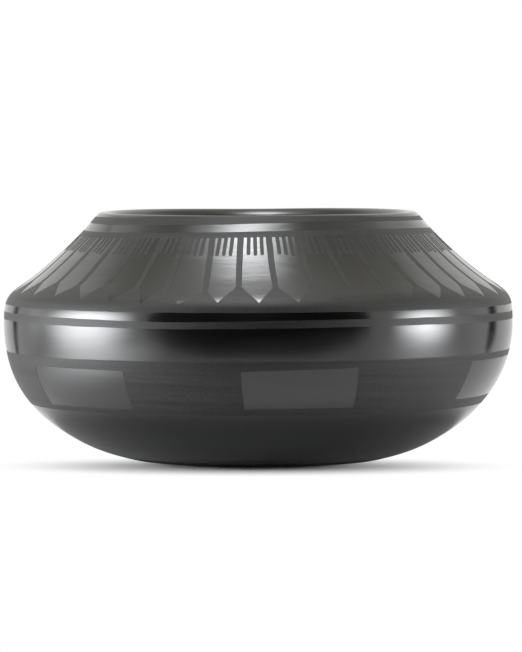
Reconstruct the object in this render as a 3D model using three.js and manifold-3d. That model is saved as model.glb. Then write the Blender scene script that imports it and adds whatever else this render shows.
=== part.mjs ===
// Coil-built black jar: a pressed base bowl, lapped wall coils, a rounded rim coil, a thin burnished
// slip coat over the outside, and matte slip painted on top of it as bands, feathers and panels.
// Millimetres, +Z up, origin at the centre of the flat foot, painted front towards -Y.
import * as THREE from 'three';
import { mergeVertices } from 'three/addons/utils/BufferGeometryUtils.js';
import Module from 'manifold-3d';

const wasm = await Module();
wasm.setup();

// Vessel outline, measured on the outside: foot, belly, shoulder, and the lip that the slope ends in
const FOOT_RADIUS = 66.2;
const FOOT_RISE_DEGREES = 11.5;
const FOOT_CURVE_REACH = 48.1;
const BELLY_RADIUS = 139.6;
const BELLY_HEIGHT = 75.9;
const BELLY_CURVE_BELOW = 36;
const BELLY_CURVE_ABOVE = 16;
const SHOULDER_INSET = 15.8;
const SHOULDER_RISE = 24.3;
const SHOULDER_SLOPE_DEGREES = 36.6;
const SHOULDER_CURVE_REACH = 16.1;
const LIP_CREST_RADIUS = 84.85;
const JAR_HEIGHT = 135;
const NECK_SLOPE_DEGREES = 48.2;
const LIP_ROLL = 6.5;

// Clay and slip
const BASE_THICKNESS = 9;
const WALL_THICKNESS = 6.5;
const SLIP_THICKNESS = 0.3;
const SLIP_START_HEIGHT = 2.5;
const PAINT_THICKNESS = 0.25;
const PAINT_CLEARANCE = 0.05;

// Coils: the base bowl's height, the rim coil's depth under the crest, the coils that raise the wall to
// the belly and close it in above, and the lap of every joint
const BASE_BOWL_HEIGHT = 22;
const RIM_COIL_DEPTH = 9;
const COILS_BELOW_BELLY = 5;
const COILS_ABOVE_BELLY = 5;
const COIL_LAP = 5;

// Painted bands, as heights: the upper ones hang from the lip, the lower ones follow the belly
const RIM_BAND_DROP = 0.5;
const RIM_BAND_WIDTH = 3.7;
const NECK_STRIPE_WIDTH = 4.1;
const FEATHER_BAND_RISE = 9.9;
const BELT_LINE_RISE = 2.3;
const BELT_LINE_WIDTH = 4.1;
const PANEL_BAND_DROP = 15.5;
const PANEL_BAND_WIDTH = 29.2;

// Feathers: burnished windows between long painted lines, under the comb band and above plain ground
const FEATHER_COUNT = 40;
const COMB_BAND_WIDTH = 2.9;
const FEATHER_GROUND_WIDTH = 5.4;
const FEATHER_TIP_LENGTH = 7.3;
const LONG_LINE_WIDTH = 3;

// Burnished panels of the lower band: frame above and below, and the painter's own spacing, in degrees
const PANEL_FRAME_ABOVE = 4.4;
const PANEL_FRAME_BELOW = 3.8;
const PANELS = [
  { centre: -45.5, width: 29.4 },
  { centre: 10, width: 26.3 },
  { centre: 70.8, width: 29 },
  { centre: 131, width: 28.5 },
  { centre: 190, width: 29.5 },
  { centre: 251, width: 29 },
];

// Facets
const ROUND_SEGMENTS = 40;
const LARGEST_TURN_DEGREES = 13;
const LIP_STEPS_OUTSIDE = 2;
const LIP_STEPS_INSIDE = 4;
const CUTTER_REACH = 8;
const LENGTH_TOLERANCE = 1e-6;

// Heights of the painted edges
const rimBandHigh = JAR_HEIGHT - RIM_BAND_DROP;
const rimBandLow = rimBandHigh - RIM_BAND_WIDTH;
const featherBandHigh = rimBandLow - NECK_STRIPE_WIDTH;
const featherBandLow = BELLY_HEIGHT + FEATHER_BAND_RISE;
const featherTop = featherBandHigh - COMB_BAND_WIDTH;
const featherTip = featherBandLow + FEATHER_GROUND_WIDTH;
const featherFlare = featherTip + FEATHER_TIP_LENGTH;
const beltLineLow = BELLY_HEIGHT + BELT_LINE_RISE;
const beltLineHigh = beltLineLow + BELT_LINE_WIDTH;
const panelBandHigh = BELLY_HEIGHT - PANEL_BAND_DROP;
const panelBandLow = panelBandHigh - PANEL_BAND_WIDTH;
const panelHigh = panelBandHigh - PANEL_FRAME_ABOVE;
const panelLow = panelBandLow + PANEL_FRAME_BELOW;

const degrees = THREE.MathUtils.degToRad;

const CLAY = { color: 0x2a2826, roughness: 0.85, metalness: 0 };
const BURNISHED_SLIP = { color: 0x0b0b0c, roughness: 0.16, metalness: 0 };
const MATTE_SLIP = { color: 0x2c2c2d, roughness: 0.8, metalness: 0 };

// The outer profile runs from the foot edge to where the lip starts to round over.
const lipRadius = WALL_THICKNESS / 2 + SLIP_THICKNESS;
const neckSlope = degrees(NECK_SLOPE_DEGREES);
const foot = new THREE.Vector2(FOOT_RADIUS, 0);
const belly = new THREE.Vector2(BELLY_RADIUS, BELLY_HEIGHT);
const shoulder = new THREE.Vector2(BELLY_RADIUS - SHOULDER_INSET, BELLY_HEIGHT + SHOULDER_RISE);
const neck = new THREE.Vector2(
  LIP_CREST_RADIUS + lipRadius * Math.sin(neckSlope),
  JAR_HEIGHT - lipRadius * (1 - Math.cos(neckSlope)),
);

function along(start, slopeDegrees, reach) {
  const slope = degrees(slopeDegrees);
  return new THREE.Vector2(start.x + reach * Math.cos(slope), start.y + reach * Math.sin(slope));
}

const neckReach = shoulder.distanceTo(neck) / 3;
const profile = new THREE.CurvePath();
profile.add(new THREE.CubicBezierCurve(
  foot,
  along(foot, FOOT_RISE_DEGREES, FOOT_CURVE_REACH),
  along(belly, -90, BELLY_CURVE_BELOW),
  belly,
));
profile.add(new THREE.CubicBezierCurve(
  belly,
  along(belly, 90, BELLY_CURVE_ABOVE),
  along(shoulder, -SHOULDER_SLOPE_DEGREES, SHOULDER_CURVE_REACH),
  shoulder,
));
profile.add(new THREE.CubicBezierCurve(
  shoulder,
  along(shoulder, 180 - SHOULDER_SLOPE_DEGREES, neckReach),
  along(neck, -NECK_SLOPE_DEGREES, neckReach),
  neck,
));
const profileLength = profile.getLength();
const bellyLength = profile.curves[0].getLength();

function pointAt(length) {
  return profile.getPoint(THREE.MathUtils.clamp(length / profileLength, 0, 1));
}

function outwardAt(length) {
  const tangent = profile.getTangent(THREE.MathUtils.clamp(length / profileLength, 0, 1));
  return new THREE.Vector2(tangent.y, -tangent.x);
}

// Length along the profile at which it reaches a height; it climbs all the way.
function lengthAtHeight(height) {
  let low = 0;
  let high = profileLength;
  while (high - low > LENGTH_TOLERANCE) {
    const middle = (low + high) / 2;
    if (pointAt(middle).y < height) low = middle;
    else high = middle;
  }
  return low;
}

function wallAt(length) {
  const rise = Math.min(1, length / bellyLength);
  return THREE.MathUtils.lerp(BASE_THICKNESS, WALL_THICKNESS, rise);
}

// Points at a depth under the finished surface; the bare foot edge has no slip over it.
function surfacePoint(length, depth) {
  return pointAt(length).addScaledVector(outwardAt(length), -depth);
}

function clayOutside(length) {
  return length === 0 ? foot.clone() : surfacePoint(length, SLIP_THICKNESS);
}

function clayInside(length) {
  return surfacePoint(length, SLIP_THICKNESS + wallAt(length));
}

function evenSteps(start, end, count) {
  return Array.from({ length: count + 1 }, (_, i) => THREE.MathUtils.lerp(start, end, i / count));
}

// Lengths from start to end, in steps that follow the turn of the profile.
function steps(start, end) {
  const turn = Math.abs(outwardAt(start).angleTo(outwardAt(end)));
  const count = Math.max(1, Math.ceil(turn / degrees(LARGEST_TURN_DEGREES)));
  return evenSteps(start, end, count);
}

// Round of the lip, at a depth under its surface: from the outside of the neck to the crest, and then a
// fuller roll from the crest down into the mouth.
const lipCentre = new THREE.Vector2(LIP_CREST_RADIUS, JAR_HEIGHT - lipRadius);
const rollCentre = new THREE.Vector2(LIP_CREST_RADIUS, JAR_HEIGHT - LIP_ROLL);
const lipFirst = outwardAt(profileLength).angle();
const lipCrest = Math.PI / 2;

function lipArc(centre, radius, from, to, count) {
  return Array.from({ length: count }, (_, i) => {
    const angle = THREE.MathUtils.lerp(from, to, (i + 1) / count);
    return new THREE.Vector2(Math.cos(angle), Math.sin(angle)).multiplyScalar(radius).add(centre);
  });
}

function lipOutside(depth) {
  return lipArc(lipCentre, lipRadius - depth, lipFirst, lipCrest, LIP_STEPS_OUTSIDE);
}

function lipInside(depth) {
  return lipArc(rollCentre, LIP_ROLL - depth, lipCrest, Math.PI, LIP_STEPS_INSIDE);
}

function revolve(points) {
  const geometry = new THREE.LatheGeometry(points, ROUND_SEGMENTS);
  geometry.rotateX(Math.PI / 2);
  return geometry;
}

function closedRing(outside, inside) {
  return revolve([...outside, ...inside, outside[0].clone()]);
}

// Joints between coils, as lengths along the outside of the profile; one of them is at the belly
const firstJoint = lengthAtHeight(BASE_BOWL_HEIGHT);
const rimJoint = lengthAtHeight(JAR_HEIGHT - RIM_COIL_DEPTH);
const joints = [
  ...evenSteps(firstJoint, bellyLength, COILS_BELOW_BELLY),
  ...evenSteps(bellyLength, rimJoint, COILS_ABOVE_BELLY).slice(1),
];
const wallCoilCount = joints.length - 1;
const slipStart = lengthAtHeight(SLIP_START_HEIGHT);

function baseBowl() {
  const outside = [0, ...steps(slipStart, firstJoint)].map(clayOutside);
  const inside = steps(slipStart, firstJoint - COIL_LAP).reverse().map(clayInside);
  const floor = new THREE.Vector2(foot.x, BASE_THICKNESS);
  const axis = (height) => new THREE.Vector2(0, height);
  return revolve([axis(0), ...outside, ...inside, floor, axis(BASE_THICKNESS)]);
}

function wallCoil(start, end) {
  const outside = steps(start, end).map(clayOutside);
  const inside = steps(start - COIL_LAP, end - COIL_LAP).reverse().map(clayInside);
  return closedRing(outside, inside);
}

// The rim coil thickens from its joint to the roll of the lip.
const neckFoot = rimJoint - COIL_LAP;

function rimCoil() {
  const outside = steps(rimJoint, profileLength).map(clayOutside);
  const lip = [...lipOutside(SLIP_THICKNESS), ...lipInside(SLIP_THICKNESS)];
  return closedRing([...outside, ...lip], [clayInside(neckFoot)]);
}

// The slip coat lies on the clay: outside wall, lip, and inside of the rim coil.
const coatLengths = [...steps(slipStart, firstJoint)];
for (let i = 0; i < wallCoilCount; i += 1) {
  coatLengths.push(...steps(joints[i], joints[i + 1]).slice(1));
}
coatLengths.push(...steps(rimJoint, profileLength).slice(1));
const coatOutside = [...coatLengths.map(pointAt), ...lipOutside(0)];

function slipCoat() {
  const coatEnd = surfacePoint(neckFoot, 2 * SLIP_THICKNESS + wallAt(neckFoot));
  const clayFace = [
    ...coatLengths.map(clayOutside),
    ...lipOutside(SLIP_THICKNESS),
    ...lipInside(SLIP_THICKNESS),
    clayInside(neckFoot),
  ];
  return closedRing([...coatOutside, ...lipInside(0), coatEnd], clayFace.reverse());
}

// Point of the coat's outer face at a height, between two points of that face.
function coatPointAt(height) {
  const upper = coatOutside.findIndex((point) => point.y > height);
  const above = coatOutside[upper];
  const below = coatOutside[upper - 1];
  return below.clone().lerp(above, (height - below.y) / (above.y - below.y));
}

// Stretch of the coat's outer face between two heights.
function coatStretch(low, high) {
  const between = coatOutside.filter((point) => point.y > low && point.y < high);
  return [coatPointAt(low), ...between, coatPointAt(high)];
}

// The same stretch moved off the coat, square to it at each point.
function liftedStretch(stretch, lift) {
  return stretch.map((point, i) => {
    const before = stretch[Math.max(0, i - 1)];
    const after = stretch[Math.min(stretch.length - 1, i + 1)];
    const run = after.clone().sub(before).normalize();
    return new THREE.Vector2(point.x + run.y * lift, point.y - run.x * lift);
  });
}

function paintBand(low, high) {
  const stretch = coatStretch(low, high);
  const outside = liftedStretch(stretch, PAINT_CLEARANCE + PAINT_THICKNESS);
  const inside = liftedStretch(stretch, PAINT_CLEARANCE).reverse();
  return closedRing(outside, inside);
}

// Solids for cutting windows
function toManifold(geometry) {
  const bare = geometry.clone();
  bare.deleteAttribute('normal');
  bare.deleteAttribute('uv');
  const merged = mergeVertices(bare);
  return new wasm.Manifold(new wasm.Mesh({
    numProp: 3,
    vertProperties: new Float32Array(merged.attributes.position.array),
    triVerts: new Uint32Array(merged.index.array),
  }));
}

function toGeometry(manifold) {
  const mesh = manifold.getMesh();
  const geometry = new THREE.BufferGeometry();
  geometry.setAttribute('position', new THREE.BufferAttribute(mesh.vertProperties, mesh.numProp));
  geometry.setIndex(new THREE.BufferAttribute(mesh.triVerts, 1));
  geometry.computeVertexNormals();
  return geometry;
}

// A window outline has the angle round the jar as x and the height as y, anticlockwise.
// Its cutter follows the coat at those heights, from inside the paint to outside it.
function windowCutter(outline) {
  const places = (reach) => outline.flatMap((corner) => {
    const radius = coatPointAt(corner.y).x + reach;
    return [radius * Math.sin(corner.x), -radius * Math.cos(corner.x), corner.y];
  });
  const count = outline.length;
  const triangles = [];
  for (const [a, b, c] of THREE.ShapeUtils.triangulateShape(outline, [])) {
    triangles.push(a + count, b + count, c + count);
    triangles.push(a, c, b);
  }
  for (let i = 0; i < count; i += 1) {
    const next = (i + 1) % count;
    triangles.push(i, next, next + count);
    triangles.push(i, next + count, i + count);
  }
  return new wasm.Manifold(new wasm.Mesh({
    numProp: 3,
    vertProperties: new Float32Array([...places(-CUTTER_REACH), ...places(CUTTER_REACH)]),
    triVerts: new Uint32Array(triangles),
  }));
}

// A length across the paint at a height, as an angle round the jar.
function angleAcross(width, height) {
  return width / coatPointAt(height).x;
}

// Feather window: tip, flare, and straight sides along the long lines.
function featherOutline(centre) {
  const halfPitch = Math.PI / FEATHER_COUNT;
  const sideAt = (height) => halfPitch - angleAcross(LONG_LINE_WIDTH / 2, height);
  const corner = (offset, height) => new THREE.Vector2(centre + offset, height);
  return [
    corner(0, featherTip),
    corner(sideAt(featherFlare), featherFlare),
    corner(sideAt(featherTop), featherTop),
    corner(-sideAt(featherTop), featherTop),
    corner(-sideAt(featherFlare), featherFlare),
  ];
}

function featherBand() {
  let band = toManifold(paintBand(featherBandLow, featherBandHigh));
  for (let i = 0; i < FEATHER_COUNT; i += 1) {
    band = band.subtract(windowCutter(featherOutline(2 * Math.PI * i / FEATHER_COUNT)));
  }
  return toGeometry(band);
}

function panelOutline(panel) {
  const left = degrees(panel.centre - panel.width / 2);
  const right = degrees(panel.centre + panel.width / 2);
  return [
    new THREE.Vector2(left, panelLow),
    new THREE.Vector2(right, panelLow),
    new THREE.Vector2(right, panelHigh),
    new THREE.Vector2(left, panelHigh),
  ];
}

function panelBand() {
  let band = toManifold(paintBand(panelBandLow, panelBandHigh));
  for (const panel of PANELS) {
    band = band.subtract(windowCutter(panelOutline(panel)));
  }
  return toGeometry(band);
}

const jar = new THREE.Group();
jar.name = 'blackware_jar';

function addPiece(name, geometry, finish) {
  const mesh = new THREE.Mesh(geometry, new THREE.MeshStandardMaterial(finish));
  mesh.name = name;
  jar.add(mesh);
}

addPiece('base_bowl', baseBowl(), CLAY);
for (let i = 0; i < wallCoilCount; i += 1) {
  const number = String(i + 1).padStart(2, '0');
  addPiece(`wall_coil_${number}`, wallCoil(joints[i], joints[i + 1]), CLAY);
}
addPiece('rim_coil', rimCoil(), CLAY);
addPiece('slip_coat', slipCoat(), BURNISHED_SLIP);
addPiece('matte_rim_band', paintBand(rimBandLow, rimBandHigh), MATTE_SLIP);
addPiece('matte_feather_band', featherBand(), MATTE_SLIP);
addPiece('matte_belt_line', paintBand(beltLineLow, beltLineHigh), MATTE_SLIP);
addPiece('matte_panel_band', panelBand(), MATTE_SLIP);

export default jar;
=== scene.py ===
# Coil-built black jar: burnished slip outside, matte slip painted over it, scraped clay inside.
# Metres, in the CAD part's frame: +Z up, origin at the centre of the foot, painted front towards -Y.
import bisect
import math
import random

import bmesh
import bpy
from mathutils import Matrix, Quaternion, Vector, geometry, noise


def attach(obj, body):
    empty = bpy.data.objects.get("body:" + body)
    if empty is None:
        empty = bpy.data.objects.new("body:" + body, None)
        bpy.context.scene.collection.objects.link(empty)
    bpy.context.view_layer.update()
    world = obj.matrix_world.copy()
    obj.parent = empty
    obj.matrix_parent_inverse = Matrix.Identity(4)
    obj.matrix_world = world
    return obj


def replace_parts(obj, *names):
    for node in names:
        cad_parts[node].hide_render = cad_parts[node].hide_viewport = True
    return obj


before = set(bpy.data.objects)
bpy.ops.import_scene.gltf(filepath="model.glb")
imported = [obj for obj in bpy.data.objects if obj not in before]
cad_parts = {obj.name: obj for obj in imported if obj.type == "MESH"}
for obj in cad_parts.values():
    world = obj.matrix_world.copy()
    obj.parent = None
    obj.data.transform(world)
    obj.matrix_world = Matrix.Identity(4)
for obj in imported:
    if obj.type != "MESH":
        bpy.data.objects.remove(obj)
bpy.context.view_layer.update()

MM = 0.001
FULL_TURN = 2 * math.pi

# Jar outline, as in the clay: foot, belly, shoulder, and the lip that the slope ends in
FOOT_RADIUS = 66.2 * MM
FOOT_RISE = math.radians(11.5)
FOOT_CURVE_REACH = 48.1 * MM
BELLY_RADIUS = 139.6 * MM
BELLY_HEIGHT = 75.9 * MM
BELLY_CURVE_BELOW = 36 * MM
BELLY_CURVE_ABOVE = 16 * MM
SHOULDER_INSET = 15.8 * MM
SHOULDER_RISE = 24.3 * MM
SHOULDER_SLOPE = math.radians(36.6)
SHOULDER_CURVE_REACH = 16.1 * MM
LIP_CREST_RADIUS = 84.85 * MM
JAR_HEIGHT = 135 * MM
NECK_SLOPE = math.radians(48.2)
LIP_ROLL = 6.5 * MM

# Clay, slip, paint and the round of the lip's outside
BASE_THICKNESS = 9 * MM
WALL_THICKNESS = 6.5 * MM
SLIP_THICKNESS = 0.3 * MM
SLIP_START_HEIGHT = 2.5 * MM
PAINT_THICKNESS = 0.06 * MM
PAINT_SINK = 0.03 * MM
LIP_RADIUS = WALL_THICKNESS / 2 + SLIP_THICKNESS

# Coils
BASE_BOWL_HEIGHT = 22 * MM
RIM_COIL_DEPTH = 9 * MM
COIL_LAP = 5 * MM
COIL_BULGE = 0.35 * MM
COILS_BELOW_BELLY = 5
COILS_ABOVE_BELLY = 5

# Heights of the painted edges
RIM_BAND = (130.8 * MM, 134.5 * MM)
COMB_BAND = (123.8 * MM, 126.7 * MM)
FEATHER_GROUND = (85.9 * MM, 91.3 * MM)
BELT_LINE = (78.1 * MM, 82.3 * MM)
PANEL_BAND = (31.2 * MM, 60.4 * MM)
PANEL = (35 * MM, 56 * MM)

# Feather band strokes
FEATHER_COUNT = 40
FEATHER_FLARE_HEIGHT = 98.5 * MM
LONG_LINE_WIDTH = (3.4 * MM, 3.1 * MM)
LONG_LINE_MISS = math.radians(-0.85)
TIP_MISS = math.radians(-0.15)
# Long lines that lean: bearing, reach and misses of the top and foot, in degrees
LINE_MISSES = (
    (-33, 5, (1.2, 1.4)),
    (-23, 4, (0, 0.7)),
    (-14, 4.5, (0, 1.25)),
    (5, 4, (-0.3, 0.4)),
    (26, 9, (-1.2, 0.6)),
    (43, 8, (0, 1.2)),
)
COMB_LINE_WIDTH = 2 * MM
COMB_LINE_PITCH = 3.3 * MM
COMB_LINE_END = 114.6 * MM

# Drift of the strokes round the jar, in degrees; two stretches, by bearing and reach, drift further
DRIFT_ONCE_ROUND = 1.8
DRIFT_TWICE_ROUND = 1.15
LEFT_DRIFT = 1.3
LEFT_DRIFT_PLACE = (-45, 10)
RIGHT_DRIFT = 0.9
RIGHT_DRIFT_PLACE = (62, 18)

# Reach of the painter's small misses, and the seed of every chance in the paint
PAINTER_SEED = 38
TIP_SLIP_DEGREES = 0.25
LINE_SLIP_DEGREES = 0.15
LINE_FOOT_SLIP_DEGREES = 0.3
COMB_END_SLIP_MM = 0.5
TIP_SLIP_MM = 0.3
FLARE_SLIP_MM = 0.6

# Sag of the painted edges, with the bearing and reach of each sag in degrees
TIP_SAG = 2 * MM
TIP_SAG_PLACE = (-25, 13)
TIP_LIFT_SHARE = 0.3
TIP_LIFT_PLACE = (-51, 7)
FLARE_SAG = 3 * MM
FLARE_SAG_PLACE = (-14, 4.5)
BELT_SAG = (0.45 * MM, 1.1 * MM)
BELT_SAG_PLACE = (-20, 17)
BELT_LIFT_PLACE = (32, 15)
BELT_DROP = 0.3 * MM
RIM_BAND_EASE = 1.3 * MM

# Rise and fall of the neck bands, once and twice round the jar, with its turn in radians; the bands further
# down take a share of it
NECK_SWAY_MM = 0.86
NECK_SWAY_TURN = 0.69
NECK_OVAL_MM = 0.83
NECK_OVAL_TURN = 1.13
NECK_DROP_MM = 0.95
LOWER_SWAY = 0.3

# Tremble of a painted edge: its size, and how fast it changes round the jar and along the outline
TREMBLE = 0.16 * MM
FINE_TREMBLE = 0.09 * MM
TREMBLE_TURNS = 9
TREMBLE_CLIMB = 11 * MM
TREMBLE_FINENESS = 3.1

# Burnished panels of the lower band: centre, width and lean of the sides in degrees, tilt of the
# top, and rise of the whole panel
PANELS = (
    (-45.5, 29.4, 0.5, -0.5 * MM, -0.8 * MM),
    (10, 26.3, 1, 1.6 * MM, 0),
    (70.8, 29, -0.2, 0.2 * MM, 0.9 * MM),
    (131, 28.5, -1, -0.8 * MM, 0.3 * MM),
    (190, 29.5, 0.8, 0.5 * MM, -0.2 * MM),
    (251, 29, -0.6, -0.4 * MM, 0),
)
PANEL_BAND_SWAY = 0.8 * MM

# How far the hand-built shape departs from a true round
FOOT_FULLNESS = 1.5 * MM
BASE_SHIFT = -1.35 * MM
SHOULDER_SHIFT = 0.9 * MM
RIM_SHIFT = -0.5 * MM
RIM_SPREAD = 0.25 * MM
BOWL_FULLNESS = 0.75 * MM
LIP_RISE = 0.55 * MM
LIP_DIP = 0.75 * MM
LIP_DIP_SHARPNESS = 11
LIP_TILT = Vector((0.3 * MM, 0.45 * MM, 0))
LIP_WAVE = 0.25 * MM
LIP_WAVE_TURNS = 1.3
LIP_WAVE_LEVEL = 3
WALL_WAVE = 0.3 * MM
WALL_WAVE_TURNS = 1.6
WALL_WAVE_CLIMB = 70 * MM
WALL_DENTS = 0.12 * MM
WALL_DENT_TURNS = 5
WALL_DENT_CLIMB = 22 * MM
WALL_DENT_LEVEL = 7

# Heights between which those departures come or go
SETTLED_ENDS = (0, 15 * MM)
FOOT_FULLNESS_ENDS = (3 * MM, 14 * MM)
BASE_SHIFT_ENDS = (30 * MM, 75 * MM)
BOWL_FULLNESS_ENDS = (25 * MM, 80 * MM)
SHOULDER_SHIFT_HEIGHT = 97 * MM
SHOULDER_SHIFT_REACH = 9 * MM
RIM_SHIFT_ENDS = (110 * MM, JAR_HEIGHT)
RIM_SPREAD_ENDS = (124 * MM, 131 * MM)
LIP_RISE_ENDS = (100 * MM, JAR_HEIGHT)

# Wander of the strokes that a stone, brush or scraper leaves
STROKE_WANDER = 6 * MM
STROKE_WANDER_SCALE = 17
STROKE_ROUGHNESS = 0.6

# Values between which a noise mostly keeps
NOISE_ENDS = (0.25, 0.75)

# Mesh fineness
ROUND_STEPS = 320
CURVE_STEPS = 60
LIP_STEPS = 14
SKIN_STEP = 1.8 * MM
SKIN_BACK_STEP = 2.5 * MM
UNDER_SLIP_STEP = 4 * MM
COIL_INSIDE_STEP = 1.2 * MM
RIM_STEP = 1.5 * MM
FOOT_SHARES = (0, 0.3, 0.6, 0.85)
FOOT_EDGE = 1.5 * MM
FOOT_STEP = 3 * MM
BASE_INSIDE_STEP = 2 * MM
BASE_FLOOR_STEP = 12 * MM
BASE_FLOOR_STEPS = 6
BAND_SECTORS = 36
COMB_END_STEPS = 8
PAINT_ANGLE_STEP = math.radians(1.25)
PAINT_RUN_STEP = 2.2 * MM
MERGE_DISTANCE = 1e-6
PAINT_MERGE_DISTANCE = 2e-6
CREASE_ANGLE = math.radians(40)


# Outline of the finished surface

def along(start, slope, reach):
    return start + reach * Vector((math.cos(slope), math.sin(slope)))


def outer_curves():
    """Outside of the jar from the foot edge to where the lip starts to round over, as (radius, height)."""
    foot = Vector((FOOT_RADIUS, 0))
    belly = Vector((BELLY_RADIUS, BELLY_HEIGHT))
    shoulder = Vector((BELLY_RADIUS - SHOULDER_INSET, BELLY_HEIGHT + SHOULDER_RISE))
    neck = Vector((
        LIP_CREST_RADIUS + LIP_RADIUS * math.sin(NECK_SLOPE),
        JAR_HEIGHT - LIP_RADIUS * (1 - math.cos(NECK_SLOPE)),
    ))
    neck_reach = (neck - shoulder).length / 3
    up = math.pi / 2
    stretches = [
        (foot, along(foot, FOOT_RISE, FOOT_CURVE_REACH), along(belly, -up, BELLY_CURVE_BELOW), belly),
        (belly, along(belly, up, BELLY_CURVE_ABOVE),
         along(shoulder, -SHOULDER_SLOPE, SHOULDER_CURVE_REACH), shoulder),
        (shoulder, along(shoulder, math.pi - SHOULDER_SLOPE, neck_reach),
         along(neck, -NECK_SLOPE, neck_reach), neck),
    ]
    points = [foot]
    for knots in stretches:
        points += geometry.interpolate_bezier(*knots, CURVE_STEPS)[1:]
    return points


def outward_at(points):
    """Direction square to the outline at each of its points, away from the clay."""
    directions = []
    for i in range(len(points)):
        before = points[max(0, i - 1)]
        after = points[min(len(points) - 1, i + 1)]
        run = (after - before).normalized()
        directions.append(Vector((run.y, -run.x)))
    return directions


class Outline:
    """A line of (radius, height) points that is read by the length along it."""

    def __init__(self, points):
        self.points = points
        self.outward = outward_at(points)
        self.lengths = [0.0]
        for before, after in zip(points, points[1:]):
            self.lengths.append(self.lengths[-1] + (after - before).length)

    def end(self):
        return self.lengths[-1]

    def at(self, length, lift=0.0):
        i = min(max(bisect.bisect_right(self.lengths, length), 1), len(self.lengths) - 1)
        share = (length - self.lengths[i - 1]) / (self.lengths[i] - self.lengths[i - 1])
        point = self.points[i - 1].lerp(self.points[i], share)
        outward = self.outward[i - 1].lerp(self.outward[i], share).normalized()
        return point + lift * outward

    def at_height(self, height):
        """Length at which the outline first climbs to a height."""
        for i in range(1, len(self.points)):
            below, above = self.points[i - 1], self.points[i]
            if above.y >= height:
                share = (height - below.y) / (above.y - below.y)
                return self.lengths[i - 1] + share * (self.lengths[i] - self.lengths[i - 1])
        raise ValueError("height above the lip")


def over_the_lip(points):
    """The outside, the lip with its fuller roll into the mouth, and the neck to the rim coil's joint."""
    crest = math.pi / 2
    rounds = (
        (Vector((LIP_CREST_RADIUS, JAR_HEIGHT - LIP_RADIUS)), LIP_RADIUS, crest - NECK_SLOPE, crest),
        (Vector((LIP_CREST_RADIUS, JAR_HEIGHT - LIP_ROLL)), LIP_ROLL, crest, math.pi),
    )
    lip = []
    for centre, radius, start, end in rounds:
        for i in range(LIP_STEPS):
            turn = start + (end - start) * (i + 1) / LIP_STEPS
            lip.append(along(centre, turn, radius))
    wall = Outline(points)
    depth = WALL_THICKNESS + 2 * SLIP_THICKNESS
    joint = wall.at_height(JAR_HEIGHT - RIM_COIL_DEPTH) - COIL_LAP
    neck_foot = wall.at(joint, -depth)
    upward = (wall.at(joint + MM, -depth) - neck_foot).normalized()
    reach = (neck_foot - lip[-1]).length / 3
    neck = geometry.interpolate_bezier(
        lip[-1], lip[-1] - Vector((0, reach)), neck_foot + reach * upward, neck_foot, LIP_STEPS)
    return points + lip + neck[1:]


OUTSIDE = Outline(outer_curves())
SKIN = Outline(over_the_lip(OUTSIDE.points))
BELLY_RUN = OUTSIDE.at_height(BELLY_HEIGHT)


def wall_at(run):
    return BASE_THICKNESS + (WALL_THICKNESS - BASE_THICKNESS) * min(1.0, run / BELLY_RUN)


def inside_at(run, swell=0.0):
    """Inner face of the clay, square to the outside at a length along it."""
    return OUTSIDE.at(run, -(SLIP_THICKNESS + wall_at(run) + swell))


# The hand-built shape

def smooth_step(low, high, value):
    share = min(max((value - low) / (high - low), 0.0), 1.0)
    return share * share * (3 - 2 * share)


def lean(height):
    """Sideways drift of the wall as it was raised: base to the left, shoulder to the right."""
    shift = BASE_SHIFT * (1 - smooth_step(*BASE_SHIFT_ENDS, height))
    shift += SHOULDER_SHIFT * math.exp(-((height - SHOULDER_SHIFT_HEIGHT) / SHOULDER_SHIFT_REACH) ** 2)
    return shift + RIM_SHIFT * smooth_step(*RIM_SHIFT_ENDS, height)


def round_noise(turn, turns, level):
    """A wander that closes round the jar, faster with more turns, and differs with the level."""
    return noise.noise(Vector((turns * turn.x, turns * turn.y, level)))


def hand_built(point):
    """Moves a point of the true round shape to where hand building left it; the foot stays flat."""
    radius = math.hypot(point.x, point.y)
    if radius == 0:
        return Vector((lean(point.z), 0, point.z))
    turn = Vector((point.x / radius, point.y / radius, 0))
    settled = smooth_step(*SETTLED_ENDS, point.z)
    wave = WALL_WAVE * round_noise(turn, WALL_WAVE_TURNS, point.z / WALL_WAVE_CLIMB)
    wave += WALL_DENTS * round_noise(turn, WALL_DENT_TURNS, WALL_DENT_LEVEL + point.z / WALL_DENT_CLIMB)
    wave += BOWL_FULLNESS * (1 - smooth_step(*BOWL_FULLNESS_ENDS, point.z))
    wave += RIM_SPREAD * smooth_step(*RIM_SPREAD_ENDS, point.z)
    rise = LIP_RISE + LIP_TILT.dot(turn) + LIP_WAVE * round_noise(turn, LIP_WAVE_TURNS, LIP_WAVE_LEVEL)
    rise -= LIP_DIP * math.exp(LIP_DIP_SHARPNESS * (turn.y - 1))
    rise *= smooth_step(*LIP_RISE_ENDS, point.z)
    full = FOOT_FULLNESS * (1 - smooth_step(*FOOT_FULLNESS_ENDS, point.z))
    out = (settled * wave + full) * min(1.0, radius / FOOT_RADIUS)
    return Vector((point.x + turn.x * out + lean(point.z), point.y + turn.y * out, point.z + rise))


# Meshes

def linked_object(shape, name, material):
    mesh = bpy.data.meshes.new(name)
    shape.to_mesh(mesh)
    shape.free()
    mesh.materials.append(material)
    linked = bpy.data.objects.new(name, mesh)
    bpy.context.scene.collection.objects.link(linked)
    return linked


def link_piece(shape, name, material):
    for vert in shape.verts:
        vert.co = hand_built(vert.co)
    piece = linked_object(shape, name, material)
    piece.data.shade_smooth()
    piece.data.set_sharp_from_angle(angle=CREASE_ANGLE)
    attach(piece, "root")
    return piece


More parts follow.
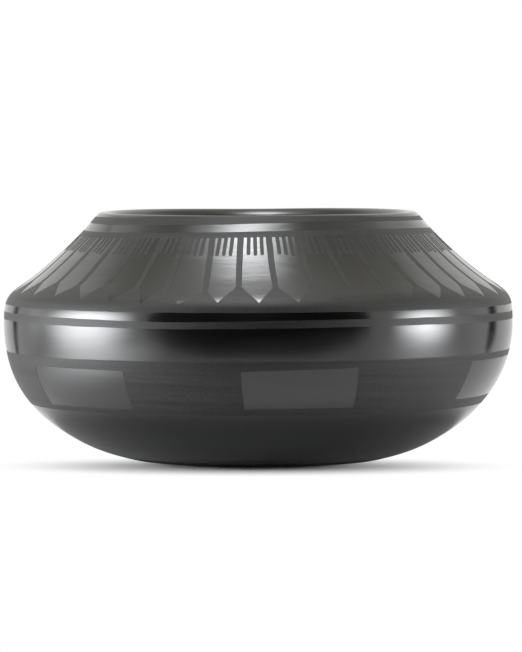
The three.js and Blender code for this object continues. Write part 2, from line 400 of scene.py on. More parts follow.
def revolve(points, closed=True):
    """Spins a (radius, height) outline round the jar's axis."""
    shape = bmesh.new()
    verts = [shape.verts.new((point.x, 0, point.y)) for point in points]
    ends = verts[1:] + verts[:1] if closed else verts[1:]
    edges = [shape.edges.new(pair) for pair in zip(verts, ends)]
    bmesh.ops.spin(shape, geom=verts + edges, cent=(0, 0, 0), axis=(0, 0, 1), angle=FULL_TURN,
                   steps=ROUND_STEPS, use_merge=True)
    bmesh.ops.remove_doubles(shape, verts=shape.verts, dist=MERGE_DISTANCE)
    bmesh.ops.recalc_face_normals(shape, faces=shape.faces)
    return shape


def spread(start, end, step):
    """Lengths from start to end, about a step apart."""
    count = max(1, math.ceil(abs(end - start) / step))
    return [start + (end - start) * i / count for i in range(count + 1)]


def slip_coat():
    """Burnished skin over the wall, the lip and the inside of the neck."""
    start = SKIN.at_height(SLIP_START_HEIGHT)
    face = [SKIN.at(run) for run in spread(start, OUTSIDE.end(), SKIN_STEP)]
    face += SKIN.points[len(OUTSIDE.points):]
    back = [SKIN.at(run, -SLIP_THICKNESS) for run in spread(SKIN.end(), start, SKIN_BACK_STEP)]
    return revolve(face + back)


def base_bowl():
    """Pressed base: flat foot with a softened edge, and the bottom of the inside."""
    joint = OUTSIDE.at_height(BASE_BOWL_HEIGHT)
    start = OUTSIDE.at_height(SLIP_START_HEIGHT)
    foot = [Vector((FOOT_RADIUS * share, 0)) for share in FOOT_SHARES]
    foot += [Vector((FOOT_RADIUS - FOOT_EDGE, 0)), OUTSIDE.at(FOOT_EDGE)]
    outside = [OUTSIDE.at(run) for run in spread(2 * FOOT_EDGE, start - FOOT_EDGE, FOOT_STEP)]
    outside += [OUTSIDE.at(run, -SLIP_THICKNESS) for run in spread(start, joint, UNDER_SLIP_STEP)]
    inside = [inside_at(run) for run in spread(joint - COIL_LAP, start, BASE_INSIDE_STEP)]
    floor = [Vector((FOOT_RADIUS - BASE_FLOOR_STEP * i, BASE_THICKNESS)) for i in range(BASE_FLOOR_STEPS)]
    floor.append(Vector((0, BASE_THICKNESS)))
    return revolve(foot + outside + inside + floor, closed=False)


def coil_inside(start, end):
    """Inner face of one coil, swelling a little between its joints."""
    face = []
    for run in spread(start, end, COIL_INSIDE_STEP):
        swell = COIL_BULGE * math.sin(math.pi * (run - start) / (end - start))
        face.append(inside_at(run, swell))
    return face


def wall_coil(start, end):
    outside = [OUTSIDE.at(run, -SLIP_THICKNESS) for run in spread(start, end, UNDER_SLIP_STEP)]
    return revolve(outside + coil_inside(end - COIL_LAP, start - COIL_LAP))


def rim_coil():
    start = OUTSIDE.at_height(JAR_HEIGHT - RIM_COIL_DEPTH)
    face = [SKIN.at(run, -SLIP_THICKNESS) for run in spread(start, SKIN.end(), RIM_STEP)]
    return revolve(face)


# Painted layers: drawn flat as (angle round the jar, length along the outline), then wrapped on

def height_run(height):
    return SKIN.at_height(height)


def hand_tremble(angle, run):
    """Small wander of a painted edge, in metres along the stroke's two directions."""
    place = Vector((TREMBLE_TURNS * math.sin(angle), TREMBLE_TURNS * math.cos(angle), run / TREMBLE_CLIMB))
    fine = FINE_TREMBLE * noise.noise_vector(TREMBLE_FINENESS * place)
    return TREMBLE * noise.noise_vector(place) + fine


def edge_sway(angle):
    """Slow rise and fall of the painted neck bands round the jar."""
    sway = NECK_SWAY_MM * math.cos(angle - NECK_SWAY_TURN)
    sway += NECK_OVAL_MM * math.cos(2 * angle - NECK_OVAL_TURN)
    return MM * (sway - NECK_DROP_MM)


def hump(angle, middle, width):
    """1 at a bearing and none away from it, in degrees."""
    off = (math.degrees(angle) - middle + 180) % 360 - 180
    return math.exp(-(off / width) ** 2)


def flat_sheet(outlines):
    """Cuts each flat outline into a fine grid, so that it can follow the jar."""
    sheet = bmesh.new()
    for outline in outlines:
        patch = bmesh.new()
        patch.faces.new([patch.verts.new((angle, run, 0)) for angle, run in outline])
        for axis, step in ((0, PAINT_ANGLE_STEP), (1, PAINT_RUN_STEP)):
            places = [corner[axis] for corner in outline]
            normal = Vector((1, 0, 0)) if axis == 0 else Vector((0, 1, 0))
            for i in range(math.ceil(min(places) / step), math.floor(max(places) / step) + 1):
                bmesh.ops.bisect_plane(patch, geom=patch.verts[:] + patch.edges[:] + patch.faces[:],
                                       dist=MERGE_DISTANCE, plane_co=normal * (i * step), plane_no=normal)
        part = bpy.data.meshes.new("patch")
        patch.to_mesh(part)
        patch.free()
        sheet.from_mesh(part)
        bpy.data.meshes.remove(part)
    return sheet


def painted_layer(outlines):
    """A closed film of paint on the burnished slip, from its flat outlines."""
    film = flat_sheet(outlines)
    for vert in film.verts:
        angle, run = vert.co.x, vert.co.y
        wander = hand_tremble(angle, run)
        point = SKIN.at(run + wander.y, -PAINT_SINK)
        angle += wander.x / point.x
        vert.co = Vector((point.x * math.sin(angle), -point.x * math.cos(angle), point.y))
    bmesh.ops.remove_doubles(film, verts=film.verts, dist=PAINT_MERGE_DISTANCE)
    bmesh.ops.recalc_face_normals(film, faces=film.faces)
    film.normal_update()
    raised = bmesh.ops.extrude_face_region(film, geom=film.faces[:], use_keep_orig=True)
    for part in raised["geom"]:
        if isinstance(part, bmesh.types.BMVert):
            part.co += (PAINT_SINK + PAINT_THICKNESS) * part.normal
    bmesh.ops.recalc_face_normals(film, faces=film.faces)
    return film


def plain_band(low_edge, high_edge):
    """Sectors of a band between two edges, each given as a length along the outline at an angle."""
    angles = [FULL_TURN * i / BAND_SECTORS for i in range(BAND_SECTORS + 1)]
    outlines = []
    for left, right in zip(angles, angles[1:]):
        outlines.append([
            (left, low_edge(left)), (right, low_edge(right)),
            (right, high_edge(right)), (left, high_edge(left)),
        ])
    return outlines


def rim_band():
    low, high = (height_run(height) for height in RIM_BAND)
    return plain_band(
        lambda angle: low + edge_sway(angle),
        lambda angle: high - RIM_BAND_EASE * (1 - math.cos(2 * angle)),
    )


def belt_line():
    low, high = (height_run(height) - BELT_DROP for height in BELT_LINE)

    def low_edge(angle):
        bend = hump(angle, *BELT_SAG_PLACE) - hump(angle, *BELT_LIFT_PLACE)
        return low + LOWER_SWAY * edge_sway(angle) - BELT_SAG[0] * bend

    def high_edge(angle):
        return high + LOWER_SWAY * edge_sway(angle) - BELT_SAG[1] * hump(angle, *BELT_SAG_PLACE)

    return plain_band(low_edge, high_edge)


def drifted(angle):
    """Where a stroke that was meant for an even spacing round the jar was painted."""
    miss = DRIFT_ONCE_ROUND * math.sin(angle) - DRIFT_TWICE_ROUND * math.sin(2 * angle)
    miss += LEFT_DRIFT * hump(angle, *LEFT_DRIFT_PLACE) - RIGHT_DRIFT * hump(angle, *RIGHT_DRIFT_PLACE)
    return angle + math.radians(miss)


def line_miss(angle, end):
    """How far the top (0) or foot (1) of a long line was painted off its place, near the front."""
    miss = sum(misses[end] * hump(angle, middle, width) for middle, width, misses in LINE_MISSES)
    return math.radians(miss)


def tip_sag(angle):
    """How far the feather tips hang down at the front left, and lift further round."""
    return TIP_SAG * (hump(angle, *TIP_SAG_PLACE) - TIP_LIFT_SHARE * hump(angle, *TIP_LIFT_PLACE))


def feather_strokes():
    """Angles of the strokes of each feather, with the painter's small misses."""
    draw = random.Random(PAINTER_SEED)

    def slip(reach):
        return draw.uniform(-reach, reach)

    pitch = FULL_TURN / FEATHER_COUNT
    feathers = []
    for i in range(FEATHER_COUNT):
        middle = i * pitch
        place = drifted(middle)
        line_place = drifted(middle + pitch / 2) + LONG_LINE_MISS
        feathers.append({
            "tip": place + TIP_MISS + math.radians(slip(TIP_SLIP_DEGREES)),
            "comb": place + LONG_LINE_MISS + math.radians(slip(LINE_SLIP_DEGREES)),
            "line_top": line_place + line_miss(line_place, 0) + math.radians(slip(LINE_SLIP_DEGREES)),
            "line_foot": line_place + line_miss(line_place, 1) + math.radians(slip(LINE_FOOT_SLIP_DEGREES)),
            "comb_ends": [COMB_LINE_END + slip(COMB_END_SLIP_MM) * MM for _ in range(3)],
            "tip_height": FEATHER_GROUND[1] - tip_sag(place) + slip(TIP_SLIP_MM) * MM,
            "flare_height": FEATHER_FLARE_HEIGHT - FLARE_SAG * hump(line_place, *FLARE_SAG_PLACE)
            + slip(FLARE_SLIP_MM) * MM,
        })
    return feathers


def comb_line(middle, end, top, half=0):
    """Outline of one comb line from its right side round its end to its left side.

    half is 1 for the right half of a line that two neighbours share, -1 for the left half."""
    half_width = COMB_LINE_WIDTH / 2
    run_end = height_run(end)
    radius = SKIN.at(run_end).x
    first = COMB_END_STEPS // 2 if half < 0 else 0
    last = COMB_END_STEPS // 2 if half > 0 else COMB_END_STEPS
    corners = []
    if half >= 0:
        corners.append((middle + half_width / SKIN.at(top).x, top))
    for i in range(first, last + 1):
        turn = math.pi * i / COMB_END_STEPS
        corners.append((
            middle + half_width * math.cos(turn) / radius,
            run_end + half_width * (1 - math.sin(turn)),
        ))
    if half <= 0:
        corners.append((middle - half_width / SKIN.at(top).x, top))
    return corners


def feather_band():
    """Sheets of the feather band, each round one long line, from feather middle to feather middle."""
    feathers = feather_strokes()
    outlines = []
    comb_pitch = COMB_LINE_PITCH / SKIN.at(height_run(COMB_BAND[0])).x
    for i, left in enumerate(feathers):
        right = dict(feathers[(i + 1) % FEATHER_COUNT])
        if i == FEATHER_COUNT - 1:
            right["tip"] += FULL_TURN
            right["comb"] += FULL_TURN
        line_top, line_foot = left["line_top"], left["line_foot"]
        comb_run = height_run(COMB_BAND[0]) + edge_sway(line_top)
        flare = height_run(left["flare_height"])
        half_top = LONG_LINE_WIDTH[0] / 2 / SKIN.at(comb_run).x
        half_foot = LONG_LINE_WIDTH[1] / 2 / SKIN.at(flare).x
        upper = [height_run(COMB_BAND[1]) + edge_sway(part["comb"]) for part in (left, right)]
        tips = [height_run(part["tip_height"]) for part in (left, right)]
        ground = height_run(FEATHER_GROUND[0])
        lower = [ground + LOWER_SWAY * edge_sway(part["tip"]) for part in (left, right)]
        outline = [(left["tip"], lower[0]), (right["tip"], lower[1]), (right["tip"], tips[1])]
        outline += [(line_foot + half_foot, flare), (line_top + half_top, comb_run)]
        outline += reversed(comb_line(right["comb"] - comb_pitch, right["comb_ends"][0], comb_run))
        outline += reversed(comb_line(right["comb"], right["comb_ends"][1], comb_run, half=-1))
        outline += [(right["comb"], upper[1]), (left["comb"], upper[0])]
        outline += reversed(comb_line(left["comb"], left["comb_ends"][1], comb_run, half=1))
        outline += reversed(comb_line(left["comb"] + comb_pitch, left["comb_ends"][2], comb_run))
        outline += [(line_top - half_top, comb_run), (line_foot - half_foot, flare), (left["tip"], tips[0])]
        outlines.append(outline)
    return outlines


def panel_sway(angle):
    """Rise of the lower band towards the right of the front."""
    return PANEL_BAND_SWAY * math.sin(angle)


def panel_edges(panel):
    """Upper left, lower left, upper right and lower right corners of a panel, and its middle line."""
    centre, width, lean_degrees, tilt, rise = panel
    corners = []
    for side in (-1, 1):
        for level, height in ((1, PANEL[1] + side * tilt / 2), (-1, PANEL[0])):
            angle = math.radians(centre + side * width / 2 - level * lean_degrees / 2)
            corners.append(Vector((angle, height_run(height + rise + panel_sway(angle)))))
    middle = math.radians(centre)
    return corners, middle, (corners[0].y + corners[2].y) / 2, (corners[1].y + corners[3].y) / 2


def panel_band():
    """Sheets of the lower band, each round the gap between two panels, from panel middle to middle."""
    outlines = []
    bottom, top = PANEL_BAND
    for i, panel in enumerate(PANELS):
        corners, left, left_top, left_bottom = panel_edges(panel)
        next_corners, right, right_top, right_bottom = panel_edges(PANELS[(i + 1) % len(PANELS)])
        turn = Vector((FULL_TURN if i == len(PANELS) - 1 else 0, 0))
        right += turn.x
        outer = [(place, height_run(bottom + panel_sway(place) / 2)) for place in (left, right)]
        outer += [(place, height_run(top + panel_sway(place))) for place in (right, left)]
        outlines.append([
            outer[0], outer[1], (right, right_bottom), next_corners[1] + turn,
            next_corners[0] + turn, (right, right_top), outer[2], outer[3],
            (left, left_top), corners[2], corners[3], (left, left_bottom),
        ])
    return outlines


# Materials

def new_material(name):
    material = bpy.data.materials.new(name)
    material.use_nodes = True
    nodes = material.node_tree.nodes
    return material, nodes, material.node_tree.links, nodes["Principled BSDF"]


def object_place(nodes):
    return nodes.new("ShaderNodeTexCoord").outputs["Object"]


def vector_step(nodes, operation):
    node = nodes.new("ShaderNodeVectorMath")
    node.operation = operation
    return node


def combined(nodes, links, operation, first, second):
    node = nodes.new("ShaderNodeMath")
    node.operation = operation
    links.new(first, node.inputs[0])
    links.new(second, node.inputs[1])
    return node.outputs["Value"]


def times(nodes, links, first, second):
    return combined(nodes, links, "MULTIPLY", first, second)


def hand_strokes_group():
    """Streaks that run round the jar and wander a little, as a stone, brush or scraper leaves them."""
    group = bpy.data.node_groups.new("hand_strokes", "ShaderNodeTree")
    for name in ("Along", "Across", "Detail"):
        group.interface.new_socket(name, in_out="INPUT", socket_type="NodeSocketFloat")
    group.interface.new_socket("Streak", in_out="OUTPUT", socket_type="NodeSocketFloat")
    nodes, links = group.nodes, group.links
    entry = nodes.new("NodeGroupInput")
    leave = nodes.new("NodeGroupOutput")
    place = object_place(nodes)
    wander = nodes.new("ShaderNodeTexNoise")
    wander.inputs["Scale"].default_value = STROKE_WANDER_SCALE
    wander.inputs["Detail"].default_value = 1
    climb = vector_step(nodes, "MULTIPLY_ADD")
    climb.inputs[1].default_value = (0, 0, STROKE_WANDER)
    scale = nodes.new("ShaderNodeCombineXYZ")
    stretch = vector_step(nodes, "MULTIPLY")
    streak = nodes.new("ShaderNodeTexNoise")
    streak.inputs["Scale"].default_value = 1
    streak.inputs["Roughness"].default_value = STROKE_ROUGHNESS
    links.new(entry.outputs["Along"], scale.inputs["X"])
    links.new(entry.outputs["Along"], scale.inputs["Y"])
    links.new(entry.outputs["Across"], scale.inputs["Z"])
    links.new(place, wander.inputs["Vector"])
    links.new(wander.outputs["Color"], climb.inputs[0])
    links.new(place, climb.inputs[2])
    links.new(climb.outputs["Vector"], stretch.inputs[0])
    links.new(scale.outputs["Vector"], stretch.inputs[1])
    links.new(stretch.outputs["Vector"], streak.inputs["Vector"])
    links.new(entry.outputs["Detail"], streak.inputs["Detail"])
    links.new(streak.outputs["Fac"], leave.inputs["Streak"])
    return group


def strokes(nodes, group, along_scale, across_scale, detail):
    node = nodes.new("ShaderNodeGroup")
    node.node_tree = group
    node.inputs["Along"].default_value = along_scale
    node.inputs["Across"].default_value = across_scale
    node.inputs["Detail"].default_value = detail
    return node.outputs["Streak"]


def grain(nodes, links, scale, detail):
    speck = nodes.new("ShaderNodeTexNoise")
    speck.inputs["Scale"].default_value = scale
    speck.inputs["Detail"].default_value = detail
    links.new(object_place(nodes), speck.inputs["Vector"])
    return speck.outputs["Fac"]


def ramp(nodes, links, value, low, high, dark, light):
    """Colour or grey level that goes from dark to light as a value goes from low to high."""
    node = nodes.new("ShaderNodeValToRGB")
    node.color_ramp.elements[0].position = low
    node.color_ramp.elements[1].position = high
    node.color_ramp.elements[0].color = (*dark, 1)
    node.color_ramp.elements[1].color = (*light, 1)
    links.new(value, node.inputs["Fac"])
    return node.outputs["Color"]


def remapped(nodes, links, value, start, end):
    """A value that goes between two ends, moved to go between two others."""
    node = nodes.new("ShaderNodeMapRange")
    node.inputs["From Min"].default_value = start[0]
    node.inputs["From Max"].default_value = start[1]
    node.inputs["To Min"].default_value = end[0]
    node.inputs["To Max"].default_value = end[1]
    links.new(value, node.inputs["Value"])
    return node.outputs["Result"]


def smooth_fade(nodes, links, value, ends):
    """Goes from 0 to 1, with eased ends, as a value goes between two ends."""
    node = nodes.new("ShaderNodeMapRange")
    node.interpolation_type = "SMOOTHSTEP"
    node.inputs["From Min"].default_value = ends[0]
    node.inputs["From Max"].default_value = ends[1]
    links.new(value, node.inputs["Value"])
    return node.outputs["Result"]


def spread_value(nodes, links, value, low, high):
    """A noise, which keeps near its middle, spread from low to high."""
    return remapped(nodes, links, value, NOISE_ENDS, (low, high))


def bump(nodes, links, height, depth, below=None):
    node = nodes.new("ShaderNodeBump")
    node.inputs["Strength"].default_value = 1
    node.inputs["Distance"].default_value = depth
    links.new(height, node.inputs["Height"])
    if below is not None:
        links.new(below, node.inputs["Normal"])
    return node.outputs["Normal"]


def between_heights(nodes, links, lower_edge, upper_edge, elsewhere):
    """1 between two edges that it fades over, and a lesser value below and above them."""
    split = nodes.new("ShaderNodeSeparateXYZ")
    links.new(object_place(nodes), split.inputs["Vector"])
    edges = (lower_edge, (upper_edge[1], upper_edge[0]))
    shares = [remapped(nodes, links, split.outputs["Z"], edge, (elsewhere, 1)) for edge in edges]
    return times(nodes, links, *shares)


def round_the_jar(nodes, links):
    """Direction of the burnishing strokes: level, round the jar's axis."""
    turn = vector_step(nodes, "CROSS_PRODUCT")
    turn.inputs[0].default_value = (0, 0, 1)
    even = vector_step(nodes, "NORMALIZE")
    links.new(object_place(nodes), turn.inputs[1])
    links.new(turn.outputs["Vector"], even.inputs[0])
    return even.outputs["Vector"]


def burnished_slip(group):
    """Stone-burnished slip: near black, semi-gloss, with faint tracks of the stone round the jar."""
    material, nodes, links, shader = new_material("burnished_slip")
    tracks = strokes(nodes, group, along_scale=14, across_scale=130, detail=2)
    passes = strokes(nodes, group, along_scale=60, across_scale=300, detail=2)
    hairs = strokes(nodes, group, along_scale=90, across_scale=700, detail=3)
    unevenness = between_heights(nodes, links, FEATHER_GROUND, RIM_BAND, elsewhere=0.25)
    on_feathers = between_heights(nodes, links, FEATHER_GROUND, COMB_BAND, elsewhere=0)
    bloom = grain(nodes, links, scale=38, detail=4)
    colour = ramp(nodes, links, bloom, low=0.3, high=0.75,
                  dark=(0.0012, 0.0012, 0.00125), light=(0.003, 0.0029, 0.0028))
    links.new(colour, shader.inputs["Base Color"])
    sheen = spread_value(nodes, links, tracks, low=0.17, high=0.24)
    rubbing = remapped(nodes, links, on_feathers, start=(0, 1), end=(1, 0.78))
    links.new(times(nodes, links, sheen, rubbing), shader.inputs["Roughness"])
    relief = None
    for marks, depth in ((tracks, 0.14 * MM), (passes, 0.11 * MM), (hairs, 0.022 * MM)):
        relief = bump(nodes, links, times(nodes, links, marks, unevenness), depth, relief)
    links.new(relief, shader.inputs["Normal"])
    links.new(round_the_jar(nodes, links), shader.inputs["Tangent"])
    shader.inputs["Anisotropic"].default_value = 0.9
    shader.inputs["Anisotropic Rotation"].default_value = 0.25
    shader.inputs["IOR"].default_value = 1.7
    return material


def matte_slip(group):
    """Painted slip left unburnished: dark grey, dry, with fine grain and soft brush strokes."""
    material, nodes, links, shader = new_material("matte_slip")
    brush = strokes(nodes, group, along_scale=12, across_scale=420, detail=3)
    dust = grain(nodes, links, scale=900, detail=3)
    body = times(nodes, links, brush, dust)
    colour = ramp(nodes, links, body, low=0.12, high=0.4,
                  dark=(0.0155, 0.0153, 0.0148), light=(0.033, 0.0326, 0.0315))
    links.new(colour, shader.inputs["Base Color"])
    links.new(spread_value(nodes, links, dust, low=0.46, high=0.54), shader.inputs["Roughness"])
    brushed = bump(nodes, links, brush, depth=0.03 * MM)
    links.new(bump(nodes, links, dust, depth=0.06 * MM, below=brushed), shader.inputs["Normal"])
    shader.inputs["IOR"].default_value = 1.39
    return material


def scraped_clay(group):
    """Smoke-blackened clay of the inside and the foot, scraped and left unpolished."""
    material, nodes, links, shader = new_material("scraped_clay")
    scrape = strokes(nodes, group, along_scale=10, across_scale=320, detail=4)
    grit = grain(nodes, links, scale=700, detail=4)
    patch = grain(nodes, links, scale=22, detail=3)
    colour = ramp(nodes, links, patch, low=0.3, high=0.7,
                  dark=(0.022, 0.021, 0.02), light=(0.04, 0.038, 0.036))
    links.new(colour, shader.inputs["Base Color"])
    links.new(spread_value(nodes, links, grit, low=0.6, high=0.85), shader.inputs["Roughness"])
    scraped = bump(nodes, links, scrape, depth=0.12 * MM)
    links.new(bump(nodes, links, grit, depth=0.08 * MM, below=scraped), shader.inputs["Normal"])
    return material


# The jar

def build_jar():
    group = hand_strokes_group()
    burnished, matte, clay = burnished_slip(group), matte_slip(group), scraped_clay(group)
    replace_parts(link_piece(base_bowl(), "pressed_base", clay), "base_bowl")
    first = OUTSIDE.at_height(BASE_BOWL_HEIGHT)
    last = OUTSIDE.at_height(JAR_HEIGHT - RIM_COIL_DEPTH)
    joints = [first + (BELLY_RUN - first) * i / COILS_BELOW_BELLY for i in range(COILS_BELOW_BELLY)]
    joints += [BELLY_RUN + (last - BELLY_RUN) * i / COILS_ABOVE_BELLY for i in range(COILS_ABOVE_BELLY + 1)]
    for i in range(len(joints) - 1):
        coil = wall_coil(joints[i], joints[i + 1])
        piece = link_piece(coil, "pinched_coil_%02d" % (i + 1), clay)
        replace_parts(piece, "wall_coil_%02d" % (i + 1))
    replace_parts(link_piece(rim_coil(), "rounded_rim", clay), "rim_coil")
    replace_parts(link_piece(slip_coat(), "burnished_skin", burnished), "slip_coat")
    layers = [
        ("painted_rim_band", rim_band(), "matte_rim_band"),
        ("painted_feathers", feather_band(), "matte_feather_band"),
        ("painted_belt_line", belt_line(), "matte_belt_line"),
        ("painted_panels", panel_band(), "matte_panel_band"),
    ]
    for name, outlines, node in layers:
        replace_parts(link_piece(painted_layer(outlines), name, matte), node)


# Studio: camera
FOCAL_PIXELS = 4300
IMAGE_HEIGHT = 652
SENSOR = 36
CAMERA_DISTANCE = 2.365
CAMERA_PITCH = math.radians(2.76)
AIM = Vector((1.4 * MM, 0, 72.5 * MM))

# Studio: room and floor, with the distances over which the floor fades to white
WHITE = (1, 1, 1, 1)
WALL_LIGHT = (1.08, 1.08, 1.05, 1)
CEILING_LIGHT = (0.66, 0.65, 0.58, 1)
CEILING_FADE = (0.62, 0.78)
FLOOR_REACH = 20
FLOOR_GREY = (0.54, 0.54, 0.54, 1)
SHADOW_CENTRE = (-0.006, -0.061, 0)
SHADOW_STRETCH = (2.1, 1, 1)
SHADOW_FADE = (0.013, 0.072)
MIRROR_FADE = (0.122, 0.152)

# Studio: dark cards, as name, width, height, place, turn and width of the foot
CARD_BLACK = (0.004, 0.004, 0.004, 1)
CARD_LIFT = 1 * MM
UPRIGHT = (0, 0, 0)
LYING = (math.pi / 2, 0, 0)
DARK_CARDS = (
    ("dark_front", 1.66, 1.1, (0, -0.75, 0), UPRIGHT, None),
    ("dark_floor", 1.2, 0.365, (0, -0.385, CARD_LIFT), LYING, 0.7),
    ("dark_floor_end", 0.7, 0.11, (0.005, -0.275, CARD_LIFT), LYING, 0.18),
)

# Studio: dark posts, as name, bearing in degrees, width, and the near end of the seam on the floor
POST_DISTANCE = 0.85
POST_HEIGHT = 0.6
POSTS = (
    ("left", -134, 0.08, Vector((-0.3, 0.19, CARD_LIFT))),
    ("right", 123.5, 0.12, Vector((0.325, 0.11, CARD_LIFT))),
)
SEAM_TAPER = 4

# Studio: softboxes, as name, place, target, width, height, watts and roll in degrees
LAMP_COLOUR = (0.95, 0.975, 1)
LOW_LAMP = 4 * MM
SOFT_BOXES = (
    ("top_box", (-0.068, -0.2, 1.2), (-0.068, -0.2, 0), 0.71, 0.74, 22, -12),
    ("top_haze", (-0.19, -0.2, 1.22), (-0.19, -0.2, 0), 1.3, 0.7, 10.5, 0),
    ("ceiling_glow", (-0.1, 0.2, 1.25), (-0.1, 0.2, 0), 1.3, 1.2, 3.4, 0),
    ("left_wall_glow", (-0.72, 0.24, 0.12), (0, 0, 0.1), 0.4, 0.5, 0.7, 0),
    ("left_box", (-0.54, -0.18, 0.12), (0, -0.18, 0.12), 0.62, 0.4, 14.6, 15),
    ("left_reflector", (-0.31, -0.16, LOW_LAMP), (-0.31, -0.16, 1), 0.4, 0.44, 3.2, 0),
    ("right_box", (0.54, -0.195, 0.09), (0, -0.195, 0.09), 0.41, 0.4, 8.6, -15),
    ("right_reflector", (0.3, -0.15, LOW_LAMP), (0.3, -0.15, 1), 0.3, 0.3, 0.5, 0),
)


def add_camera():
    data = bpy.data.cameras.new("camera")
    data.sensor_width = SENSOR
    data.lens = SENSOR * FOCAL_PIXELS / IMAGE_HEIGHT
    camera = bpy.data.objects.new("camera", data)
    back = Vector((0, -math.cos(CAMERA_PITCH), math.sin(CAMERA_PITCH)))
    camera.location = AIM + CAMERA_DISTANCE * back
    camera.rotation_euler = (-back).to_track_quat("-Z", "Y").to_euler()
    bpy.context.scene.collection.objects.link(camera)
    bpy.context.scene.camera = camera


def soft_box(name, place, target, width, height, watts, roll):
    """A softbox, bright in the middle and fading evenly to its edge, turned about the way that it faces."""
    data = bpy.data.lights.new(name, "AREA")
    data.shape = "RECTANGLE"
    data.size = width
    data.size_y = height
    data.energy = watts
    data.color = LAMP_COLOUR
    data.use_nodes = True
    nodes, links = data.node_tree.nodes, data.node_tree.links
    sheet = nodes.new("ShaderNodeNewGeometry")
    from_middle = vector_step(nodes, "DISTANCE")
    from_middle.inputs[1].default_value = (0.5, 0.5, 0)
    links.new(sheet.outputs["Parametric"], from_middle.inputs[0])
    fade = smooth_fade(nodes, links, from_middle.outputs["Value"], (0.5, 0))
    links.new(fade, nodes["Emission"].inputs["Strength"])
    lamp = bpy.data.objects.new(name, data)
    lamp.location = place
    facing = (Vector(target) - Vector(place)).to_track_quat("-Z", "Y")
    lamp.rotation_euler = (facing @ Quaternion((0, 0, 1), math.radians(roll))).to_euler()
    lamp.visible_camera = False
    bpy.context.scene.collection.objects.link(lamp)


def add_world():
    """Room with white walls and a dimmer, warmer ceiling; the camera sees plain white."""
    world = bpy.data.worlds.new("studio")
    world.use_nodes = True
    nodes, links = world.node_tree.nodes, world.node_tree.links
    place = nodes.new("ShaderNodeTexCoord")
    split = nodes.new("ShaderNodeSeparateXYZ")
    room = nodes.new("ShaderNodeMixRGB")
    room.inputs["Color1"].default_value = WALL_LIGHT
    room.inputs["Color2"].default_value = CEILING_LIGHT
    seen = nodes.new("ShaderNodeMixRGB")
    seen.inputs["Color2"].default_value = WHITE
    links.new(place.outputs["Generated"], split.inputs["Vector"])
    links.new(smooth_fade(nodes, links, split.outputs["Z"], CEILING_FADE), room.inputs["Fac"])
    links.new(nodes.new("ShaderNodeLightPath").outputs["Is Camera Ray"], seen.inputs["Fac"])
    links.new(room.outputs["Color"], seen.inputs["Color1"])
    links.new(seen.outputs["Color"], nodes["Background"].inputs["Color"])
    bpy.context.scene.world = world


def white_beyond(nodes, links, distance, ends, *rays):
    """Share of plain white background for some kinds of ray: none near the jar, all of it further off."""
    kind = rays[0]
    for other in rays[1:]:
        kind = combined(nodes, links, "MAXIMUM", kind, other)
    return times(nodes, links, smooth_fade(nodes, links, distance, ends), kind)


def distance_from(nodes, links, centre, stretch):
    """Distance on the floor from a centre, counted shorter along a stretched direction."""
    offset = vector_step(nodes, "SUBTRACT")
    offset.inputs[1].default_value = centre
    shrink = vector_step(nodes, "DIVIDE")
    shrink.inputs[1].default_value = stretch
    length = vector_step(nodes, "LENGTH")
    links.new(object_place(nodes), offset.inputs[0])
    links.new(offset.outputs["Vector"], shrink.inputs[0])
    links.new(shrink.outputs["Vector"], length.inputs[0])
    return length.outputs["Value"]


def floor_material():
    """White floor: lit and shaded near the jar, plain white background further off."""
    material, nodes, links, shader = new_material("studio_floor")
    nodes.remove(shader)
    paper = nodes.new("ShaderNodeBsdfDiffuse")
    paper.inputs["Color"].default_value = FLOOR_GREY
    white = nodes.new("ShaderNodeEmission")
    path = nodes.new("ShaderNodeLightPath").outputs
    shadow = distance_from(nodes, links, SHADOW_CENTRE, SHADOW_STRETCH)
    seen = white_beyond(nodes, links, shadow, SHADOW_FADE, path["Is Camera Ray"])
    jar = distance_from(nodes, links, (0, 0, 0), (1, 1, 1))
    mirrored = white_beyond(nodes, links, jar, MIRROR_FADE,
                            path["Is Glossy Ray"], path["Is Transmission Ray"])
    mix = nodes.new("ShaderNodeMixShader")
    links.new(combined(nodes, links, "ADD", seen, mirrored), mix.inputs["Fac"])
    links.new(paper.outputs["BSDF"], mix.inputs[1])
    links.new(white.outputs["Emission"], mix.inputs[2])
    links.new(mix.outputs["Shader"], nodes["Material Output"].inputs["Surface"])
    return material


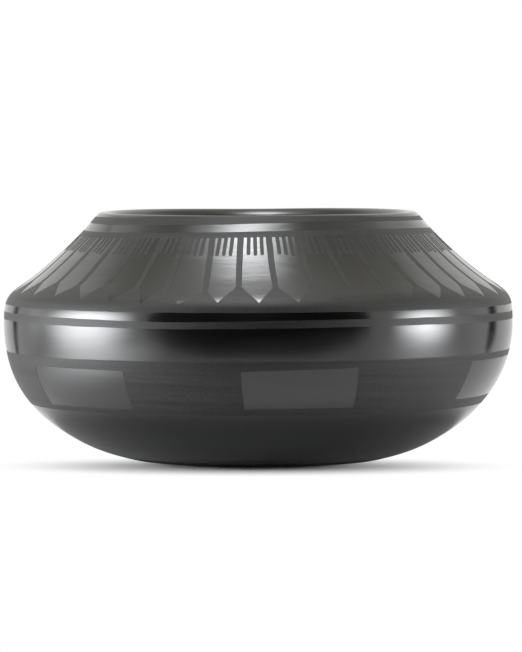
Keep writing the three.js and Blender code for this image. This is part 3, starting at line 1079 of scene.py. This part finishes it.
def flat_card(material, name, width, height, foot_width):
    """A flat stage card in the XZ plane, standing on the floor, facing -Y; its foot can be narrower."""
    shape = bmesh.new()
    bmesh.ops.create_grid(shape, x_segments=1, y_segments=1, size=0.5)
    bmesh.ops.scale(shape, verts=shape.verts, vec=(width, height, 1))
    bmesh.ops.rotate(shape, verts=shape.verts, matrix=Matrix.Rotation(math.pi / 2, 3, "X"))
    bmesh.ops.translate(shape, verts=shape.verts, vec=(0, 0, height / 2))
    if foot_width is not None:
        foot = [vert for vert in shape.verts if vert.co.z < height / 2]
        bmesh.ops.scale(shape, verts=foot, vec=(foot_width / width, 1, 1))
    card = linked_object(shape, name, material)
    return card


def unseen_card(material, name, width, height, place, turn, foot_width=None):
    """A dark card that the camera does not see, but that reflections and soft light do."""
    card = flat_card(material, name, width, height, foot_width)
    card.location = place
    card.rotation_euler = turn
    card.visible_camera = False
    card.visible_transmission = False
    return card


def add_post(material, name, bearing, width, near):
    """A dark post that only reflections show, and the seam that runs over the floor to its foot."""
    turn = math.radians(bearing)
    place = Vector((POST_DISTANCE * math.sin(turn), -POST_DISTANCE * math.cos(turn), 0))
    post = unseen_card(material, name + "_post", width, POST_HEIGHT, place, (0, 0, turn))
    reach = place - near
    seam_turn = (math.pi / 2, 0, math.atan2(reach.x, -reach.y))
    seam = unseen_card(material, name + "_seam", width, reach.length, near, seam_turn, width / SEAM_TAPER)
    for card in (post, seam):
        card.visible_diffuse = False
        card.visible_shadow = False


def add_studio():
    sheet = bmesh.new()
    bmesh.ops.create_grid(sheet, x_segments=1, y_segments=1, size=FLOOR_REACH)
    floor = linked_object(sheet, "floor", floor_material())
    black, _, _, shader = new_material("dark_room")
    shader.inputs["Base Color"].default_value = CARD_BLACK
    shader.inputs["Roughness"].default_value = 1
    shader.inputs["Specular IOR Level"].default_value = 0
    for card in DARK_CARDS:
        unseen_card(black, *card)
    for post in POSTS:
        add_post(black, *post)
    for box in SOFT_BOXES:
        soft_box(*box)
    add_world()


bpy.context.scene.view_settings.view_transform = "Standard"
noise.seed_set(PAINTER_SEED)
add_camera()
build_jar()
add_studio()
